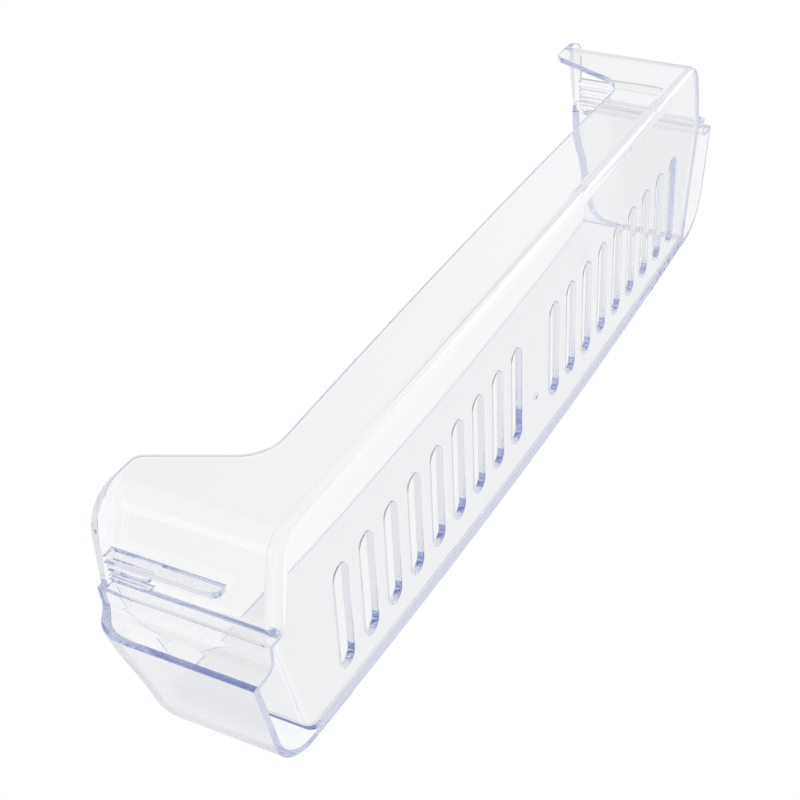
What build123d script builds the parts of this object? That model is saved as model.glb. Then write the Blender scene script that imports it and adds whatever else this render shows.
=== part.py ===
"""Refrigerator door shelf: one clear moulding with a slotted floor, a low back, a bowed front and clip ends.

The shelf stands on its floor with +Z up. The front faces -Y, the back +Y, and the length runs along X.
The origin is at the middle of the footprint, on the underside. Sizes are in millimetres and degrees.
"""

import os
from math import cos, radians, tan

from build123d import *

# Overall size
overall_length = 440.0  # from nose tip to nose tip
depth = 102.4  # from the back wall to the crown of the bowed front
height = 68.0  # at the ends
front_height = 57.0
back_height = 27.0  # low back rim, where the ears begin
back_crown = 2.0  # rise of the low back rim at its middle

# Wall sections
wall = 2.8
panel = 1.6  # thinner panels of the nose, next to the clip groove
floor = 3.0
bottom_round = 3.5  # outside, along the foot of all the tray's walls but the front
inside_round = 3.5  # inside, along the floor

# Plan of the tray
front_radius = 2500.0  # bow of the front wall
back_corner = 10.0
end_flare = 12.5  # end walls widen towards the front by this angle
front_corner = 4.5  # inside corner of the compartment
cheek_angle = 14.2  # cheek walls behind the noses narrow towards the front by this angle

# Hollow nose at each end of the front, open below
nose_setback = 44.0  # from the back wall to the nose's rear panel
nose_reach = 11.5  # rear panel, from its flank to the tip
nose_flank = 9.2  # flank, from the rear panel to the clip groove
nose_corner = 24.0  # front corner in plan
nose_shoulder = 15.5  # rounding along the top of the nose
nose_fillet = 3.5  # hollow curve from flank to rear panel
wing_angle = 13.0  # outer face of the nose, turned in towards the front
groove_depth = 5.1  # clip groove, from the nose's flank in to the end wall
groove_fillet = 1.6  # hollow curve in the groove's corner
groove_round = 7.0  # end wall into the cheek

# Step of the rim from the ends down to the front
rim_step_run = 54.0
rim_step_setback = 17.2  # from the nose's rear panel to the middle of the step

# Ears of the back wall
ear_length = 28.0  # along the top, from the flange edge
ear_slope = 66.0
ear_foot_round = 17.0
ear_tip_round = 5.0

# Clip features outside each end wall
flange_inset = 2.5  # flange edge behind the nose's flank
flange_corner = 13.0
rail_thickness = 2.7
rail_gap = 11.4  # from the groove's side to the middle of the rail
rail_bottom = 20.0
rail_round = 3.0
stop_count = 2
stop_pitch = 3.9
stop_thickness = 1.5
stop_gap = 4.7  # from the groove's side to the middle of the stops' row
stop_bottom = 48.0
stop_reach = 0.9  # stops end this far behind the flange edge

# Floor vents and the moulding gate
slot_count = 9  # in each half
slot_pitch = 18.0
slot_gap = 38.6  # between the two middle slots
slot_length = 46.2
slot_width = 9.0
slot_front = 19.9  # from the front crown to the slots
gate_radius = 1.8
gate_depth = 0.5
gate_front = 31.0  # from the front crown

# Places worked out from the sizes above
half_length = overall_length / 2
back_y = depth / 2
front_y = -depth / 2
beyond = 20.0  # how far cutting shapes reach past the part
nose_back = back_y - nose_setback
flank_x = half_length - nose_reach
end_x = flank_x - groove_depth
flange_x = flank_x - flange_inset
groove_y = nose_back + nose_flank
flange_z = height - wall


def wing_x(y):
    """X of the nose's outer face at a given Y."""
    return half_length - (nose_back - y) * tan(radians(wing_angle))


def cheek_line_x(y):
    """X of the cheek wall's outer face at a given Y."""
    return end_x - (groove_y - y) * tan(radians(cheek_angle))


def end_wall_x(y):
    """X of the end wall's outer face at a given Y."""
    return end_x - (y - groove_y) * tan(radians(end_flare))


def rim_form(inset):
    """Everything under the stepped rim, drawn in all round by inset."""
    middle = nose_back - rim_step_setback
    step_top = (middle + rim_step_run / 2, height)
    step_middle = (middle, (height + front_height) / 2)
    step_foot = (middle - rim_step_run / 2, front_height)
    with BuildPart() as form:
        with BuildSketch(Plane.YZ):
            with BuildLine():
                Line((back_y + beyond, height), step_top)
                upper = TangentArc(step_top, step_middle, tangent=(-1, 0))
                TangentArc(step_middle, step_foot, tangent=upper % 1)
                Polyline(
                    step_foot,
                    (front_y - beyond, front_height),
                    (front_y - beyond, -beyond),
                    (back_y + beyond, -beyond),
                    (back_y + beyond, height),
                )
            make_face()
            if inset:
                offset(amount=-inset)
        extrude(amount=half_length + beyond, both=True)
    return form.part


def nose_form(overlap, inset, panel_inset):
    """The +X nose under its rounded cap, run into the tray by overlap. The insets draw its faces in."""
    far_y = front_y - beyond
    wing_inset = inset / cos(radians(wing_angle))
    side_y = groove_y - panel_inset
    inner_x = flank_x - panel_inset
    rear_y = nose_back - panel_inset
    with BuildPart() as form:
        with BuildSketch(Plane.XY.offset(-inset)) as plan:
            with BuildLine():
                Polyline(
                    (end_x - overlap, side_y),
                    (inner_x, side_y),
                    (inner_x, rear_y),
                    (wing_x(rear_y) - wing_inset, rear_y),
                    (wing_x(far_y) - wing_inset, far_y),
                    (cheek_line_x(far_y) - overlap, far_y),
                    close=True,
                )
            make_face()
            with Locations((0, front_y + front_radius)):
                Circle(front_radius - inset, mode=Mode.INTERSECT)
            fillet(plan.vertices().sort_by_distance((inner_x, rear_y))[0], nose_fillet + panel_inset)
            fillet(plan.vertices().sort_by_distance((wing_x(front_y), front_y))[0], nose_corner - inset)
        extrude(amount=height + inset)
        add(rim_form(inset), mode=Mode.INTERSECT)
        outside = form.faces().filter_by(lambda f: abs(f.normal_at().Z) < 0.1 and f.normal_at().Y < -0.1)
        fillet(outside.edges().filter_by(lambda e: e.center().Z > front_height * 0.75), nose_shoulder - inset)
    return form.part


# Plan of the tray
with BuildSketch() as tray_plan:
    with BuildLine():
        Polyline(
            (0, back_y),
            (end_wall_x(back_y), back_y),
            (end_x, groove_y),
            (cheek_line_x(front_y - beyond), front_y - beyond),
            (0, front_y - beyond),
            close=True,
        )
    make_face()
    with Locations((0, front_y + front_radius)):
        Circle(front_radius, mode=Mode.INTERSECT)
    fillet(tray_plan.vertices().sort_by_distance((end_x, back_y))[0], back_corner)
    fillet(tray_plan.vertices().sort_by_distance((end_x, groove_y))[0], groove_round)
    mirror(about=Plane.YZ)

# Compartment, cut out from above
with BuildPart() as compartment:
    with BuildSketch(Plane.XY.offset(floor)) as inside_plan:
        add(tray_plan.sketch)
        offset(amount=-wall, mode=Mode.REPLACE)
        fillet(inside_plan.vertices().sort_by_distance((cheek_line_x(front_y), front_y))[0], front_corner)
        fillet(inside_plan.vertices().sort_by_distance((-cheek_line_x(front_y), front_y))[0], front_corner)
    extrude(amount=height)
    fillet(compartment.edges().group_by(Axis.Z)[0], inside_round)

# Nose, flange, clip rail and stops of the +X end
with BuildPart() as clip_end:
    nose_overlap = front_corner + wall
    add(nose_form(nose_overlap, 0, 0))
    with BuildSketch() as groove_side:
        web_y = groove_y + 2 * groove_fillet
        with BuildLine():
            Polyline(
                (end_x - wall, groove_y - panel),
                (end_x - wall, groove_y),
                (end_wall_x(web_y), web_y),
                (end_x, groove_y),
                (flank_x, groove_y),
                (flank_x, groove_y - panel),
                close=True,
            )
        make_face()
        fillet(groove_side.vertices().sort_by_distance((end_x, groove_y))[0], groove_fillet)
    extrude(amount=flange_z)
    with BuildSketch(Plane.XY.offset(flange_z)) as flange_plan:
        with BuildLine():
            Polyline(
                (flange_x - flange_corner - back_corner, back_y),
                (flange_x, back_y),
                (flange_x, groove_y - panel),
                (flange_x - flange_corner - back_corner, groove_y - panel),
                close=True,
            )
        make_face()
        fillet(flange_plan.vertices().sort_by_distance((flange_x, back_y))[0], flange_corner)
    extrude(amount=wall)
    with BuildSketch(Plane.XZ.offset(-groove_y - rail_gap)) as rail_side:
        with Locations((flange_x, rail_bottom)):
            Rectangle(groove_depth + wall, flange_z - rail_bottom + wall / 2, align=(Align.MAX, Align.MIN))
        fillet(rail_side.vertices().sort_by_distance((flange_x, rail_bottom))[0], rail_round)
    extrude(amount=rail_thickness / 2, both=True)
    for number in range(stop_count):
        stop_y = groove_y + stop_gap + (number - (stop_count - 1) / 2) * stop_pitch
        with BuildSketch(Plane.XZ.offset(-stop_y)) as stop_side:
            with Locations((flange_x - stop_reach, stop_bottom)):
                Rectangle(groove_depth, flange_z - stop_bottom + wall / 2, align=(Align.MAX, Align.MIN))
            fillet(stop_side.vertices().sort_by_distance((flange_x, stop_bottom))[0], stop_thickness)
        extrude(amount=stop_thickness / 2, both=True)
    add(nose_form(nose_overlap + 3 * wall, wall, panel), mode=Mode.SUBTRACT)

with BuildPart() as door_shelf:
    # Tray with a rounded foot, apart from its front
    add(tray_plan.sketch)
    extrude(amount=height)
    add(rim_form(0), mode=Mode.INTERSECT)
    foot = door_shelf.edges().group_by(Axis.Z)[0]
    fillet(foot.filter_by(lambda e: e.center().Y > front_y / 2), bottom_round)
    add(clip_end.part)
    mirror(clip_end.part, about=Plane.YZ)
    add(compartment.part, mode=Mode.SUBTRACT)
    # Low back between the ears
    ear_top = flange_x - ear_length
    ear_foot = ear_top - (height - back_height) / tan(radians(ear_slope))
    with BuildSketch(Plane.XZ.offset(-back_y + wall + front_corner)) as back_opening:
        with BuildLine():
            ThreePointArc((-ear_foot, back_height), (0, back_height + back_crown), (ear_foot, back_height))
            Polyline(
                (ear_foot, back_height),
                (ear_top, height),
                (ear_top + 2 * ear_tip_round, height),
                (ear_top, height + beyond),
                (-ear_top, height + beyond),
                (-ear_top - 2 * ear_tip_round, height),
                (-ear_top, height),
                (-ear_foot, back_height),
            )
        make_face()
        fillet(back_opening.vertices().group_by(Axis.Y)[0], ear_foot_round)
        fillet(back_opening.vertices().sort_by_distance((ear_top, height))[0], ear_tip_round)
        fillet(back_opening.vertices().sort_by_distance((-ear_top, height))[0], ear_tip_round)
    extrude(amount=-beyond, mode=Mode.SUBTRACT)
    # Floor vents
    slot_y = front_y + slot_front + slot_length / 2
    slot_x = slot_gap / 2 + (slot_count - 1) * slot_pitch / 2
    with BuildSketch():
        with Locations((slot_x, slot_y), (-slot_x, slot_y)):
            with GridLocations(slot_pitch, slot_length, slot_count, 1):
                SlotOverall(slot_length, slot_width, rotation=90)
    extrude(amount=floor, mode=Mode.SUBTRACT)
    # Gate mark under the floor
    with BuildSketch():
        with Locations((0, front_y + gate_front)):
            Circle(gate_radius)
    extrude(amount=gate_depth, mode=Mode.SUBTRACT)

door_shelf.part.label = "door_shelf"
os.makedirs("parts", exist_ok=True)
export_step(door_shelf.part, "parts/door_shelf.step")
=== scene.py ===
"""Dresses a refrigerator door shelf moulded in clear polystyrene, and sets its stage and camera.

Laid out as an add-on and run as a script. Lengths are in metres, in the part's own frame: +Z is up, the low
back faces +Y and the length runs along X.
"""

import math

import bmesh
import bpy
from bpy.props import FloatProperty, FloatVectorProperty, IntProperty, PointerProperty
from mathutils import Euler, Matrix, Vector


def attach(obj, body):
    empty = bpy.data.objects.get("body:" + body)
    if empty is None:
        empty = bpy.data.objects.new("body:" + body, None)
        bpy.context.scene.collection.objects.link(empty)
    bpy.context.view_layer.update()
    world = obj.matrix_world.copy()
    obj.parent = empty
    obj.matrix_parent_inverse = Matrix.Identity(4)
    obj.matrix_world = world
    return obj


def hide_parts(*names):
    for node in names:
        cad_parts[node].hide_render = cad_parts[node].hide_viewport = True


bl_info = {
    "name": "Clear Door Shelf",
    "version": (1, 0, 0),
    "blender": (4, 5, 0),
    "location": "View3D > Sidebar > Door Shelf",
    "description": "Dresses a refrigerator door shelf in clear polystyrene and sets its stage and camera",
    "category": "Object",
}

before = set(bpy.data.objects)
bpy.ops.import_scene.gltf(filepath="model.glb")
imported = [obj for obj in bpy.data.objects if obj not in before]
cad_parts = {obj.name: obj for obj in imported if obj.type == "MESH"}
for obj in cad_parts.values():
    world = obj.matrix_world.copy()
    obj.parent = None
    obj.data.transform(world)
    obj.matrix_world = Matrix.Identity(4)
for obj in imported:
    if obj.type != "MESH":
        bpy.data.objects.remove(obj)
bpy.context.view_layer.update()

MM = 0.001
WHITE = "#FFFFFF"

# Mesh of the moulding
WELD = 0.001 * MM  # corners closer than this are one
SLIVER = 0.05 * MM  # edges shorter than this are closed up
FLAT_ANGLE = math.radians(0.2)  # faces that turn less than this are one panel
FREE_ANGLE = math.radians(50)  # edges that turn more than this are rounded
ROUND_STEPS = 3  # faces across a rounded edge
PANEL_WEIGHT = 80  # how far the panels rule the shading of the roundings next to them
# Places where walls run into each other, whose edges stay crisp: half length, depth and height in millimetres
JUNCTIONS = (
    ((195, 221), (5, 26), (-1, 8)),  # foot of the clip groove
    ((200, 221), (12, 30), (62, 69)),  # flange on the nose
    ((186, 221), (44, 52), (58, 67.5)),  # flange under the top of the ear
    ((184, 198), (-38, -26), (52, 69)),  # step of the rim
    ((178, 200), (-52, -36), (45, 69)),  # end of the front wall over the nose
    ((182, 196), (-47, -37), (-1, 69)),  # front corner of the tray
    ((0, 5), (-25, -15), (-1, 1)),  # gate mark
)

# Outside of the noses
CHEEK_SLOPE = 0.253  # how fast the cheek walls run in towards the front
CHEEK_OUTSIDE = 200.3 * MM  # just outside the cheek walls, at half depth
NOSE_REAR = 7 * MM  # rear panels of the noses
FRONT_SHARE = 0.75  # how much a turn to the front counts as a turn outwards
OUTWARD_TURN = 0.06  # faces that turn outwards more than this are matt

# Surface of the plastic
WAVE_LENGTH = 45 * MM  # wave that the melt's flow leaves
WAVE_HEIGHT = 0.03 * MM
HAZE_PATCH = 18 * MM  # size of a hazy patch
HAZE_SPREAD = (0.35, 0.75)  # noise values of the clearest and the haziest patches
HAZE_FACTORS = (0.5, 2.5)  # their roughness, as shares of the set one

# Stage
FLOOR_DROP = 0.2 * MM  # gap under the shelf
FLOOR_FADE = (0.45, 1.6)  # how far out the floor starts to fade, and where it is white
DIM_WAY = (0.38, 0.54, 0.75)  # the way to the dimmer side of the room
DIM_EDGE = (0.06, 0.56)  # along that way, where the room starts to dim and where it is dimmest
MIRRORED_ONCE = 1.5  # light mirrored more often than this is caught inside the plastic
LIGHT_DISTANCE = 1.3
# Soft boxes: the way to each from the shelf, its size in metres and its power in watts
SOFT_BOXES = (
    ("corner_light", (0.86, 0.08, 0.50), 0.6, 1.0),
    ("foot_light", (-0.80, 0.38, -0.45), 0.6, 2.0),
    ("top_light", (-0.20, -0.35, 0.90), 0.9, 4.0),
)
SENSOR_WIDTH = 36.0  # millimetres
CLIP_START = 10 * MM


def linear(hex_value):
    """Linear colour, with alpha 1, of an sRGB hex value."""
    channels = [int(hex_value[i : i + 2], 16) / 255 for i in (1, 3, 5)]
    return (*[c / 12.92 if c <= 0.04045 else ((c + 0.055) / 1.055) ** 2.4 for c in channels], 1.0)


def add_node(tree, kind, values=None, links=None, **settings):
    """Adds a node with its settings, input values and the sockets that feed its inputs."""
    node = tree.nodes.new(kind)
    for name, value in settings.items():
        setattr(node, name, value)
    for name, value in (values or {}).items():
        node.inputs[name].default_value = value
    for name, socket in (links or {}).items():
        tree.links.new(socket, node.inputs[name])
    return node


def new_material(name):
    """A new material with an empty node tree."""
    material = bpy.data.materials.new(name)
    material.use_nodes = True
    material.node_tree.nodes.clear()
    return material


class DoorShelfMoulding(bpy.types.PropertyGroup):
    """The clear moulding."""

    tint: FloatVectorProperty(
        name="Tint",
        description="What a thick piece of the plastic lets through",
        subtype="COLOR",
        size=4,
        min=0.0,
        max=1.0,
        default=linear("#0070D7"),
    )
    density: FloatProperty(
        name="Density",
        description="How fast the tint deepens along the way through the plastic, per metre",
        min=0.0,
        default=4.0,
    )
    ior: FloatProperty(name="IOR", description="Refractive index of clear polystyrene", default=1.58)
    roughness: FloatProperty(
        name="Roughness", description="Haze of the polished surface", subtype="FACTOR", default=0.02
    )
    matt_roughness: FloatProperty(
        name="Matt roughness",
        description="Roughness of the outside of the noses",
        subtype="FACTOR",
        default=0.2,
    )
    edge_round: FloatProperty(
        name="Edge round", description="Rounding of the free edges", unit="LENGTH", default=0.4 * MM
    )
    sharp_angle: FloatProperty(
        name="Sharp angle",
        description="Edges that turn more than this stay crisp",
        subtype="ANGLE",
        default=math.radians(32),
    )


class DoorShelfStage(bpy.types.PropertyGroup):
    """Floor, light and camera."""

    floor_colour: FloatVectorProperty(
        name="Floor",
        description="Pale floor",
        subtype="COLOR",
        size=4,
        min=0.0,
        max=1.0,
        default=linear("#F6F6F6"),
    )
    floor_radius: FloatProperty(
        name="Floor radius", description="Half width of the floor", unit="LENGTH", default=6.0
    )
    room_colour: FloatVectorProperty(
        name="Room",
        description="Pale room that the plastic mirrors",
        subtype="COLOR",
        size=4,
        min=0.0,
        max=1.0,
        default=linear("#E8E8E9"),
    )
    dim_colour: FloatVectorProperty(
        name="Dim side",
        description="Dimmer side of the room, overhead and at the back",
        subtype="COLOR",
        size=4,
        min=0.0,
        max=1.0,
        default=linear("#707074"),
    )
    paper_colour: FloatVectorProperty(
        name="Paper",
        description="Paler surroundings that light the edges of the plastic",
        subtype="COLOR",
        size=4,
        min=0.0,
        max=1.0,
        default=linear("#F0F0F1"),
    )
    camera_place: FloatVectorProperty(
        name="Camera place",
        description="Where the camera stands",
        subtype="TRANSLATION",
        size=3,
        default=(0.50717, 0.37048, -0.22295),
    )
    camera_turn: FloatVectorProperty(
        name="Camera turn",
        description="How the camera is turned",
        subtype="EULER",
        size=3,
        default=(2.61458875, 1.08332323, -3.04192029),
    )
    focal_length: FloatProperty(
        name="Focal length",
        description="Focal length on a 36 mm sensor, in millimetres",
        default=71.872,
    )
    light_bounces: IntProperty(
        name="Light bounces",
        description="How often light may turn inside the plastic",
        min=4,
        default=128,
    )


def nose_mask(tree, place):
    """1 on the outer faces of the two noses, 0 elsewhere."""
    point = add_node(tree, "ShaderNodeSeparateXYZ", links={"Vector": place.outputs["Object"]})
    facing = add_node(tree, "ShaderNodeNewGeometry")
    normal = add_node(tree, "ShaderNodeSeparateXYZ", links={"Vector": facing.outputs["True Normal"]})
    side = add_node(tree, "ShaderNodeMath", operation="SIGN", links={0: point.outputs["X"]})
    across = add_node(tree, "ShaderNodeMath", operation="ABSOLUTE", links={0: point.outputs["X"]})
    # Beyond the cheek wall, which runs in towards the front
    beyond = add_node(
        tree,
        "ShaderNodeMath",
        operation="MULTIPLY_ADD",
        values={1: -CHEEK_SLOPE},
        links={0: point.outputs["Y"], 2: across.outputs["Value"]},
    )
    outside = add_node(
        tree,
        "ShaderNodeMath",
        operation="GREATER_THAN",
        values={1: CHEEK_OUTSIDE},
        links={0: beyond.outputs["Value"]},
    )
    forward = add_node(
        tree,
        "ShaderNodeMath",
        operation="LESS_THAN",
        values={1: NOSE_REAR},
        links={0: point.outputs["Y"]},
    )
    # Turned outwards or to the front
    outwards = add_node(
        tree,
        "ShaderNodeMath",
        operation="MULTIPLY",
        links={0: side.outputs["Value"], 1: normal.outputs["X"]},
    )
    turned = add_node(
        tree,
        "ShaderNodeMath",
        operation="MULTIPLY_ADD",
        values={1: -FRONT_SHARE},
        links={0: normal.outputs["Y"], 2: outwards.outputs["Value"]},
    )
    outer = add_node(
        tree,
        "ShaderNodeMath",
        operation="GREATER_THAN",
        values={1: OUTWARD_TURN},
        links={0: turned.outputs["Value"]},
    )
    nose = add_node(
        tree,
        "ShaderNodeMath",
        operation="MULTIPLY",
        links={0: outside.outputs["Value"], 1: forward.outputs["Value"]},
    )
    mask = add_node(
        tree,
        "ShaderNodeMath",
        operation="MULTIPLY",
        links={0: nose.outputs["Value"], 1: outer.outputs["Value"]},
    )
    return mask.outputs["Value"]


def clear_polystyrene(settings):
    """Clear polystyrene, moulded in a tool that is polished all over but for the noses."""
    # Polystyrene is colourless in a thin wall. Along an edge the light has come a long way through it and
    # turns lilac blue. The polished tool leaves it glossy; the melt's flow leaves a faint wave in each panel,
    # and handling leaves a fine haze in patches. The outside of the noses is matt, so that it blurs what lies
    # behind it.
    material = new_material("Clear polystyrene, moulded")
    tree = material.node_tree
    place = add_node(tree, "ShaderNodeTexCoord")
    wave = add_node(
        tree,
        "ShaderNodeTexNoise",
        values={"Scale": 1 / WAVE_LENGTH, "Detail": 1.0},
        links={"Vector": place.outputs["Object"]},
    )
    surface = add_node(
        tree,
        "ShaderNodeBump",
        values={"Strength": 1.0, "Distance": WAVE_HEIGHT},
        links={"Height": wave.outputs["Fac"]},
    )
    haze = add_node(
        tree,
        "ShaderNodeTexNoise",
        values={"Scale": 1 / HAZE_PATCH, "Detail": 5.0, "Roughness": 0.6},
        links={"Vector": place.outputs["Object"]},
    )
    haze_range = add_node(
        tree,
        "ShaderNodeMapRange",
        values={
            "From Min": HAZE_SPREAD[0],
            "From Max": HAZE_SPREAD[1],
            "To Min": HAZE_FACTORS[0] * settings.roughness,
            "To Max": HAZE_FACTORS[1] * settings.roughness,
        },
        links={"Value": haze.outputs["Fac"]},
    )
    finish = add_node(
        tree,
        "ShaderNodeMix",
        values={"B": settings.matt_roughness},
        links={"Factor": nose_mask(tree, place), "A": haze_range.outputs["Result"]},
    )
    plastic = add_node(
        tree,
        "ShaderNodeBsdfPrincipled",
        values={"Base Color": linear(WHITE), "IOR": settings.ior, "Transmission Weight": 1.0},
        links={"Roughness": finish.outputs["Result"], "Normal": surface.outputs["Normal"]},
    )
    # A clear wall casts only a faint shadow
    shade = add_node(tree, "ShaderNodeBsdfTransparent", values={"Color": linear("#F4F4F8")})
    ray = add_node(tree, "ShaderNodeLightPath")
    skin = add_node(
        tree,
        "ShaderNodeMixShader",
        links={0: ray.outputs["Is Shadow Ray"], 1: plastic.outputs["BSDF"], 2: shade.outputs["BSDF"]},
    )
    depth = add_node(
        tree, "ShaderNodeVolumeAbsorption", values={"Color": settings.tint, "Density": settings.density}
    )
    add_node(
        tree,
        "ShaderNodeOutputMaterial",
        links={"Surface": skin.outputs["Shader"], "Volume": depth.outputs["Volume"]},
    )
    return material


def at_junction(edge):
    """Whether an edge touches a place where walls run into each other."""
    for vert in edge.verts:
        place = (abs(vert.co.x) / MM, vert.co.y / MM, vert.co.z / MM)
        for box in JUNCTIONS:
            if all(low < value < high for value, (low, high) in zip(place, box)):
                return True
    return False


def round_edges(form, size):
    """Rounds the free edges of the moulding, as a polished tool leaves them."""
    bmesh.ops.dissolve_limit(form, angle_limit=FLAT_ANGLE, verts=form.verts, edges=form.edges)
    free = [edge for edge in form.edges if edge.calc_face_angle() > FREE_ANGLE and not at_junction(edge)]
    bmesh.ops.bevel(
        form,
        geom=free,
        offset=size,
        offset_type="OFFSET",
        segments=ROUND_STEPS,
        profile=0.5,  # round
        affect="EDGES",
    )
    bmesh.ops.triangulate(form, faces=form.faces)
    bmesh.ops.dissolve_degenerate(form, edges=form.edges, dist=WELD)


class DOORSHELF_OT_moulding(bpy.types.Operator):
    """Make the clear moulding from the shelf's solid"""

    bl_idname = "doorshelf.moulding"
    bl_label = "Clear moulding"

    def execute(self, context):
        settings = context.scene.door_shelf_moulding
        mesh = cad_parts["door_shelf"].data.copy()
        mesh.name = "shelf_moulding"
        form = bmesh.new()
        form.from_mesh(mesh)
        bmesh.ops.remove_doubles(form, verts=form.verts, dist=WELD)
        bmesh.ops.dissolve_degenerate(form, edges=form.edges, dist=SLIVER)
        round_edges(form, settings.edge_round)
        if any(not edge.is_manifold for edge in form.edges):
            raise RuntimeError("the shelf's solid is not closed")
        form.to_mesh(mesh)
        form.free()
        normals = mesh.attributes.get("custom_normal")
        if normals:
            mesh.attributes.remove(normals)
        mesh.shade_smooth()
        mesh.set_sharp_from_angle(angle=settings.sharp_angle)
        mesh.materials.clear()
        mesh.materials.append(clear_polystyrene(settings))
        shelf = bpy.data.objects.new("shelf_moulding", mesh)
        context.scene.collection.objects.link(shelf)
        smooth = shelf.modifiers.new("Flat panels", "WEIGHTED_NORMAL")
        smooth.keep_sharp = True
        smooth.weight = PANEL_WEIGHT
        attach(shelf, "root")
        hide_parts("door_shelf")
        return {"FINISHED"}


def floor_material(settings):
    """Pale matt paper, which the camera looks through from below."""
    material = new_material("Paper, matt white")
    tree = material.node_tree
    place = add_node(tree, "ShaderNodeTexCoord")
    distance = add_node(tree, "ShaderNodeVectorMath", operation="LENGTH", links={0: place.outputs["Object"]})
    fade = add_node(
        tree,
        "ShaderNodeMapRange",
        values={"From Min": FLOOR_FADE[0], "From Max": FLOOR_FADE[1]},
        links={"Value": distance.outputs["Value"]},
        interpolation_type="SMOOTHSTEP",
    )
    paper = add_node(tree, "ShaderNodeBsdfDiffuse", values={"Color": settings.floor_colour})
    white = add_node(tree, "ShaderNodeEmission", values={"Color": linear(WHITE), "Strength": 1.0})
    near = add_node(
        tree,
        "ShaderNodeMixShader",
        links={0: fade.outputs["Result"], 1: paper.outputs["BSDF"], 2: white.outputs["Emission"]},
    )
    clear = add_node(tree, "ShaderNodeBsdfTransparent")
    side = add_node(tree, "ShaderNodeNewGeometry")
    sheet = add_node(
        tree,
        "ShaderNodeMixShader",
        links={0: side.outputs["Backfacing"], 1: near.outputs["Shader"], 2: clear.outputs["BSDF"]},
    )
    add_node(tree, "ShaderNodeOutputMaterial", links={"Surface": sheet.outputs["Shader"]})
    return material


def studio_world(settings):
    """White to look at and through. A single mirror image shows the room, and the edges catch pale paper."""
    world = bpy.data.worlds.new("Studio")
    world.use_nodes = True
    tree = world.node_tree
    tree.nodes.clear()
    ray = add_node(tree, "ShaderNodeLightPath")
    white = add_node(tree, "ShaderNodeBackground", values={"Color": linear(WHITE), "Strength": 1.0})
    room = add_node(tree, "ShaderNodeBackground", values={"Color": settings.room_colour, "Strength": 1.0})
    dim = add_node(tree, "ShaderNodeBackground", values={"Color": settings.dim_colour, "Strength": 1.0})
    paper = add_node(tree, "ShaderNodeBackground", values={"Color": settings.paper_colour, "Strength": 1.0})
    # The room is dimmer overhead and at the back
    place = add_node(tree, "ShaderNodeTexCoord")
    towards = add_node(
        tree,
        "ShaderNodeVectorMath",
        operation="DOT_PRODUCT",
        values={1: DIM_WAY},
        links={0: place.outputs["Generated"]},
    )
    dimness = add_node(
        tree,
        "ShaderNodeMapRange",
        values={"From Min": DIM_EDGE[0], "From Max": DIM_EDGE[1]},
        links={"Value": towards.outputs["Value"]},
        interpolation_type="SMOOTHSTEP",
    )
    mirrored = add_node(
        tree,
        "ShaderNodeMath",
        operation="MINIMUM",
        values={1: 1.0},
        links={0: ray.outputs["Glossy Depth"]},
    )
    trapped = add_node(
        tree,
        "ShaderNodeMath",
        operation="GREATER_THAN",
        values={1: MIRRORED_ONCE},
        links={0: ray.outputs["Glossy Depth"]},
    )
    walls = add_node(
        tree,
        "ShaderNodeMixShader",
        links={0: dimness.outputs["Result"], 1: room.outputs["Background"], 2: dim.outputs["Background"]},
    )
    sky = add_node(
        tree,
        "ShaderNodeMixShader",
        links={0: mirrored.outputs["Value"], 1: white.outputs["Background"], 2: walls.outputs["Shader"]},
    )
    studio = add_node(
        tree,
        "ShaderNodeMixShader",
        links={0: trapped.outputs["Value"], 1: sky.outputs["Shader"], 2: paper.outputs["Background"]},
    )
    add_node(tree, "ShaderNodeOutputWorld", links={"Surface": studio.outputs["Shader"]})
    return world


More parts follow.
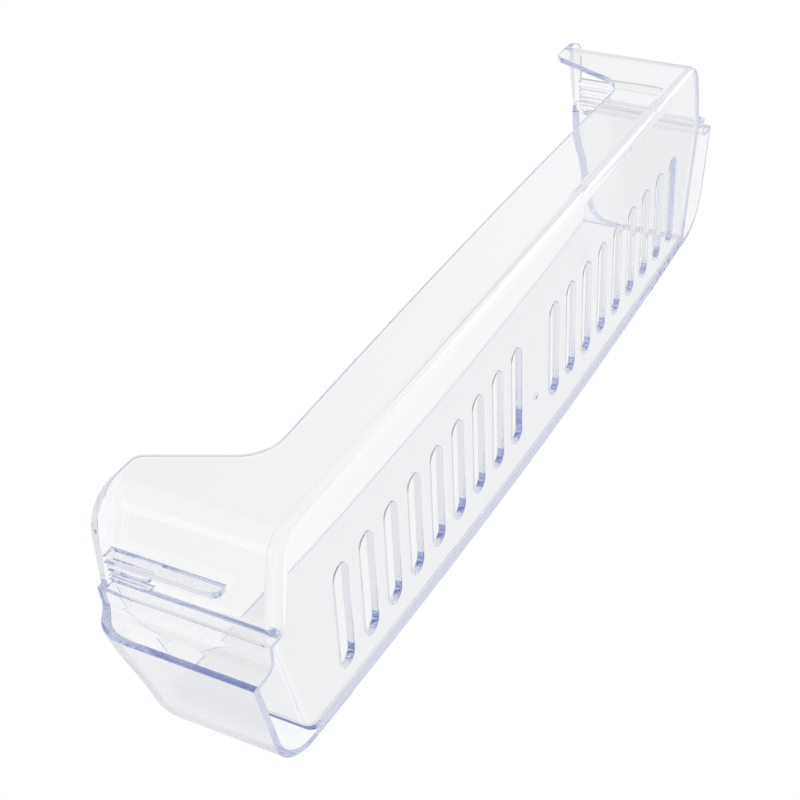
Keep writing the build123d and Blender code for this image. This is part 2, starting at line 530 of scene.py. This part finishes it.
class DOORSHELF_OT_stage(bpy.types.Operator):
    """Set the floor, the lights and the camera"""

    bl_idname = "doorshelf.stage"
    bl_label = "Stage and camera"

    def execute(self, context):
        scene = context.scene
        settings = scene.door_shelf_stage
        mesh = bpy.data.meshes.new("floor")
        form = bmesh.new()
        bmesh.ops.create_grid(form, x_segments=2, y_segments=2, size=settings.floor_radius)
        bmesh.ops.translate(form, verts=form.verts, vec=(0, 0, -FLOOR_DROP))
        form.to_mesh(mesh)
        form.free()
        mesh.materials.append(floor_material(settings))
        floor = bpy.data.objects.new("floor", mesh)
        floor.visible_glossy = False
        floor.visible_transmission = False
        floor.visible_shadow = False
        scene.collection.objects.link(floor)
        # Only mirror images and lit surfaces show the soft boxes
        for name, way, size, power in SOFT_BOXES:
            lamp = bpy.data.lights.new(name, "AREA")
            lamp.shape = "SQUARE"
            lamp.size = size
            lamp.energy = power
            light = bpy.data.objects.new(name, lamp)
            light.location = LIGHT_DISTANCE * Vector(way).normalized()
            light.rotation_euler = Vector(way).to_track_quat("Z", "Y").to_euler()
            light.visible_camera = False
            light.visible_transmission = False
            scene.collection.objects.link(light)
        scene.world = studio_world(settings)
        lens = bpy.data.cameras.new("camera")
        lens.sensor_width = SENSOR_WIDTH
        lens.lens = settings.focal_length
        lens.clip_start = CLIP_START
        camera = bpy.data.objects.new("camera", lens)
        camera.location = settings.camera_place
        camera.rotation_euler = Euler(settings.camera_turn)
        scene.collection.objects.link(camera)
        scene.camera = camera
        scene.view_settings.view_transform = "Standard"
        scene.cycles.max_bounces = settings.light_bounces
        scene.cycles.transmission_bounces = settings.light_bounces
        scene.cycles.glossy_bounces = settings.light_bounces
        scene.cycles.transparent_max_bounces = settings.light_bounces
        return {"FINISHED"}


class DOORSHELF_PT_panel(bpy.types.Panel):
    """Lists the pieces of the door shelf"""

    bl_idname = "DOORSHELF_PT_panel"
    bl_label = "Door shelf"
    bl_space_type = "VIEW_3D"
    bl_region_type = "UI"
    bl_category = "Door Shelf"

    def draw(self, context):
        layout = self.layout
        for settings, operator in (
            (context.scene.door_shelf_moulding, DOORSHELF_OT_moulding),
            (context.scene.door_shelf_stage, DOORSHELF_OT_stage),
        ):
            box = layout.box()
            for name in settings.bl_rna.properties.keys():
                if name not in {"rna_type", "name"}:
                    box.prop(settings, name)
            box.operator(operator.bl_idname)


CLASSES = (DoorShelfMoulding, DoorShelfStage, DOORSHELF_OT_moulding, DOORSHELF_OT_stage, DOORSHELF_PT_panel)


def register():
    for cls in CLASSES:
        bpy.utils.register_class(cls)
    bpy.types.Scene.door_shelf_moulding = PointerProperty(type=DoorShelfMoulding)
    bpy.types.Scene.door_shelf_stage = PointerProperty(type=DoorShelfStage)


def unregister():
    del bpy.types.Scene.door_shelf_stage
    del bpy.types.Scene.door_shelf_moulding
    for cls in reversed(CLASSES):
        bpy.utils.unregister_class(cls)


def main():
    register()
    bpy.ops.doorshelf.moulding()
    bpy.ops.doorshelf.stage()


if __name__ == "__main__":
    main()
